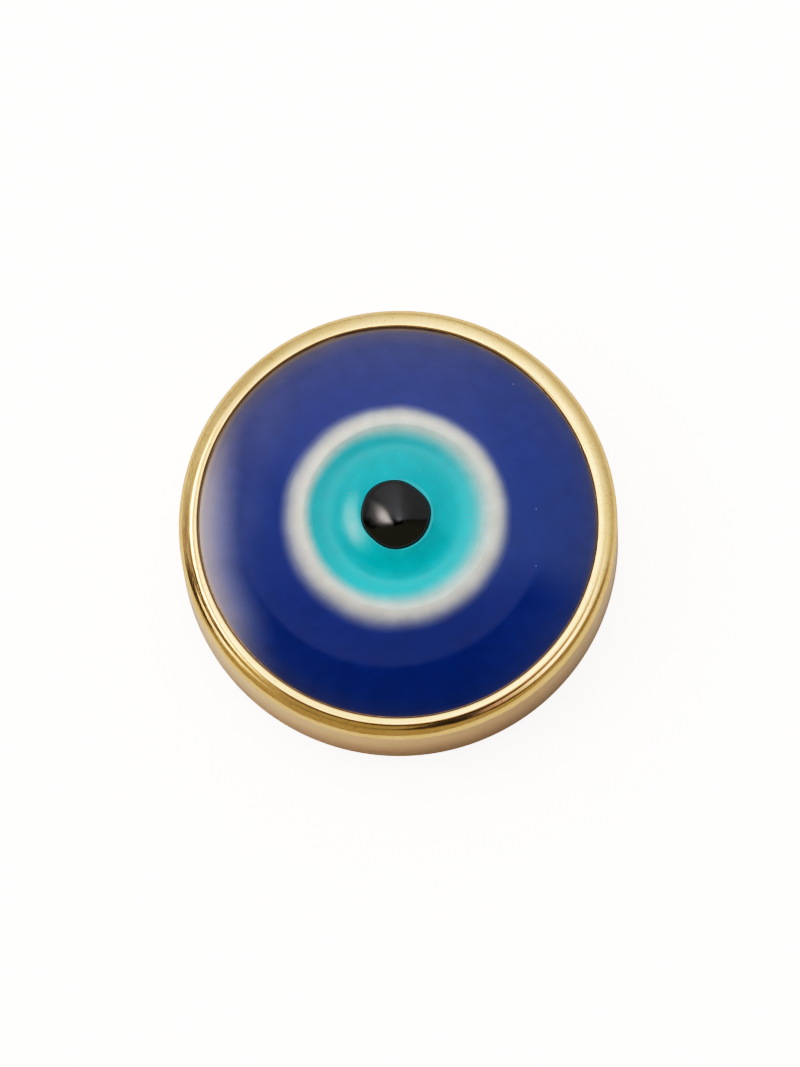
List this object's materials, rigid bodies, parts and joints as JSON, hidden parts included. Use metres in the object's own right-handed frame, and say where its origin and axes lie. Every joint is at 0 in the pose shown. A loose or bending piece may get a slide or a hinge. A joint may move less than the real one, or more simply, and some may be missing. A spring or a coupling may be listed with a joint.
{
  "type": "evil eye pendant",
  "caption": "Round pendant with a domed eye of layered coloured glass in a rolled-lip gold setting, with a chain tube across its open back.",
  "frame": {"origin": "centre of the foot rim that the pendant rests on when it lies on its back", "axes": "+Z out of the face along the axis of the round setting, +Y up as the pendant is worn, +X to the viewer's right"},
  "size_m": [0.0172, 0.0172, 0.0061],
  "materials": {
    "gold": "polished gold plate with fine hand-polishing marks",
    "blue_glass": "opaque cobalt blue glass, polished to a high gloss",
    "white_glass": "opaque white glass, polished, its edge bled softly into the blue",
    "turquoise_glass": "opaque turquoise glass, glossy, its edge bled softly into the white",
    "black_glass": "opaque black glass, glossy"
  },
  "bodies": {
    "root": {"gold_setting": "gold", "blue_dome": "blue_glass", "white_ring": "white_glass", "turquoise_iris": "turquoise_glass", "black_pupil": "black_glass"}
  },
  "joints": []
}
